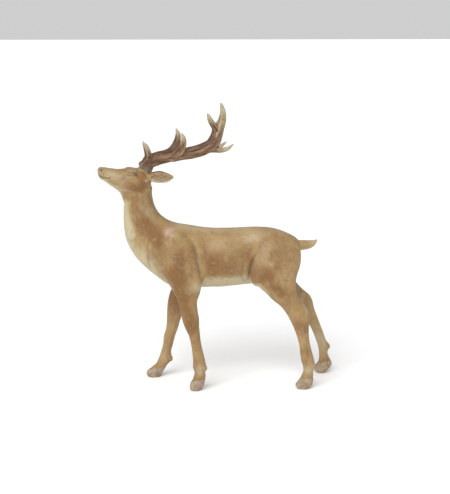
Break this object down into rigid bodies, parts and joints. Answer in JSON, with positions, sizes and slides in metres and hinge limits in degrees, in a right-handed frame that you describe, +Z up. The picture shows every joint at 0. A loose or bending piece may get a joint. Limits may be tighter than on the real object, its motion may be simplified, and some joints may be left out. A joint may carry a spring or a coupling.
{
  "type": "standing stag figure",
  "caption": "Standing stag figure with a raised head, swept-back branched antlers that pull out of keyed sockets and a short tail, cast in painted resin.",
  "frame": {"origin": "on the ground under the middle of the whole figure", "axes": "+Z up, nose towards -X, the stag's left side towards -Y"},
  "size_m": [0.5087, 0.1338, 0.6097],
  "materials": {
    "painted_resin": "satin hand-painted tan fur",
    "antler_resin": "satin dark brown fading to cream tips",
    "plain_resin": "matt, painted over",
    "steel": "plain drawn bar",
    "brass": "turned"
  },
  "bodies": {
    "figure": {"torso_casting": "painted_resin", "head_and_neck_casting": "painted_resin", "left_front_leg": "painted_resin", "right_front_leg": "painted_resin", "left_hind_leg": "painted_resin", "right_hind_leg": "painted_resin", "tail_casting": "painted_resin", "left_ear": "painted_resin", "right_ear": "painted_resin", "left_antler_socket": "brass", "left_ear_pin": "steel", "left_front_leg_rod": "steel", "left_hind_leg_rod": "steel", "right_antler_socket": "brass", "right_ear_pin": "steel", "right_front_leg_rod": "steel", "right_hind_leg_rod": "steel", "neck_rod": "steel", "register_dowels": "steel", "tail_pin": "steel", "belly_plug": "plain_resin"},
    "left_antler_body": {"left_antler": "antler_resin", "left_antler_peg": "steel"},
    "right_antler_body": {"right_antler": "antler_resin", "right_antler_peg": "steel"}
  },
  "joints": [
    {"name": "left_antler_pull_off", "type": "slide", "parent": "figure", "child": "left_antler_body", "axis": [0.4409, -0.175, 0.8804], "range_m": [0, 0.018]},
    {"name": "right_antler_pull_off", "type": "slide", "parent": "figure", "child": "right_antler_body", "axis": [0.3949, 0.2628, 0.8804], "range_m": [0, 0.018]}
  ]
}
